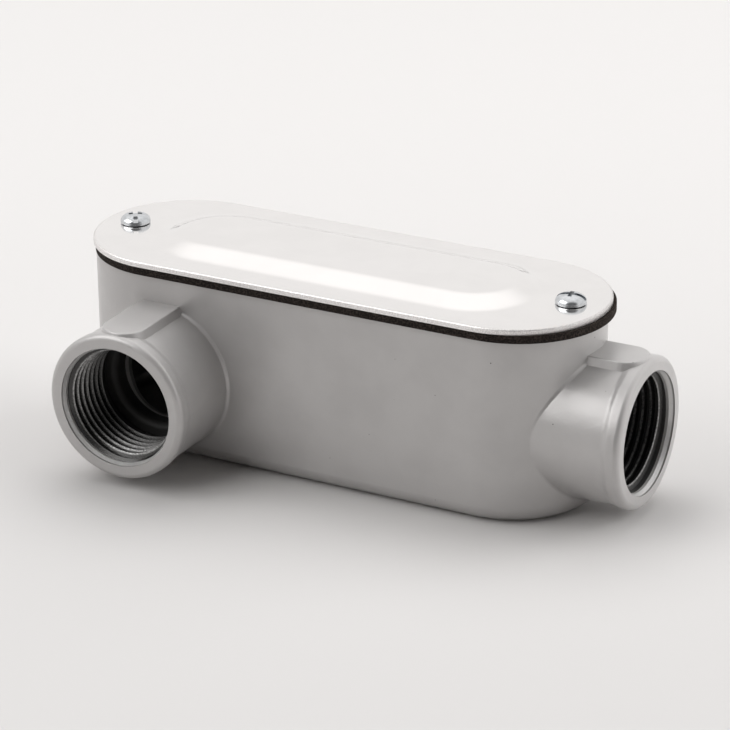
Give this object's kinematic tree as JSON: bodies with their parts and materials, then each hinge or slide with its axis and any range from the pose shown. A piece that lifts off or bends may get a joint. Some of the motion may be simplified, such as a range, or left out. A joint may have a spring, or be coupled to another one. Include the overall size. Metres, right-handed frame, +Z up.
{
  "type": "conduit body",
  "caption": "Cast threaded conduit body with a side hub and an end hub, a foam gasket and a domed cover held by two screws.",
  "frame": {"origin": "on the surface the body stands on, under the middle of the casting's round-ended outline", "axes": "+X along the body towards the end hub's mouth, -Y out of the side hub's mouth, +Z up through the cover"},
  "size_m": [0.1347, 0.0617, 0.0477],
  "materials": {
    "painted_casting": "satin grey enamel over die-cast aluminium",
    "gasket_foam": "fine-celled black foam rubber",
    "cover_sheet": "bright satin pressed sheet",
    "zinc_plate": "bright zinc plate"
  },
  "bodies": {
    "housing": {"casting": "painted_casting", "gasket": "gasket_foam"},
    "cover_plate": {"cover": "cover_sheet"},
    "left_screw": {"screw_left": "zinc_plate"},
    "right_screw": {"screw_right": "zinc_plate"}
  },
  "joints": [
    {"name": "cover_lift", "type": "slide", "parent": "housing", "child": "cover_plate", "axis": [0, 0, 1], "range_m": [0, 0.05]},
    {"name": "left_screw_out", "type": "slide", "parent": "cover_plate", "child": "left_screw", "axis": [0, 0, 1], "range_m": [0, 0.012]},
    {"name": "right_screw_out", "type": "slide", "parent": "cover_plate", "child": "right_screw", "axis": [0, 0, 1], "range_m": [0, 0.012]}
  ]
}
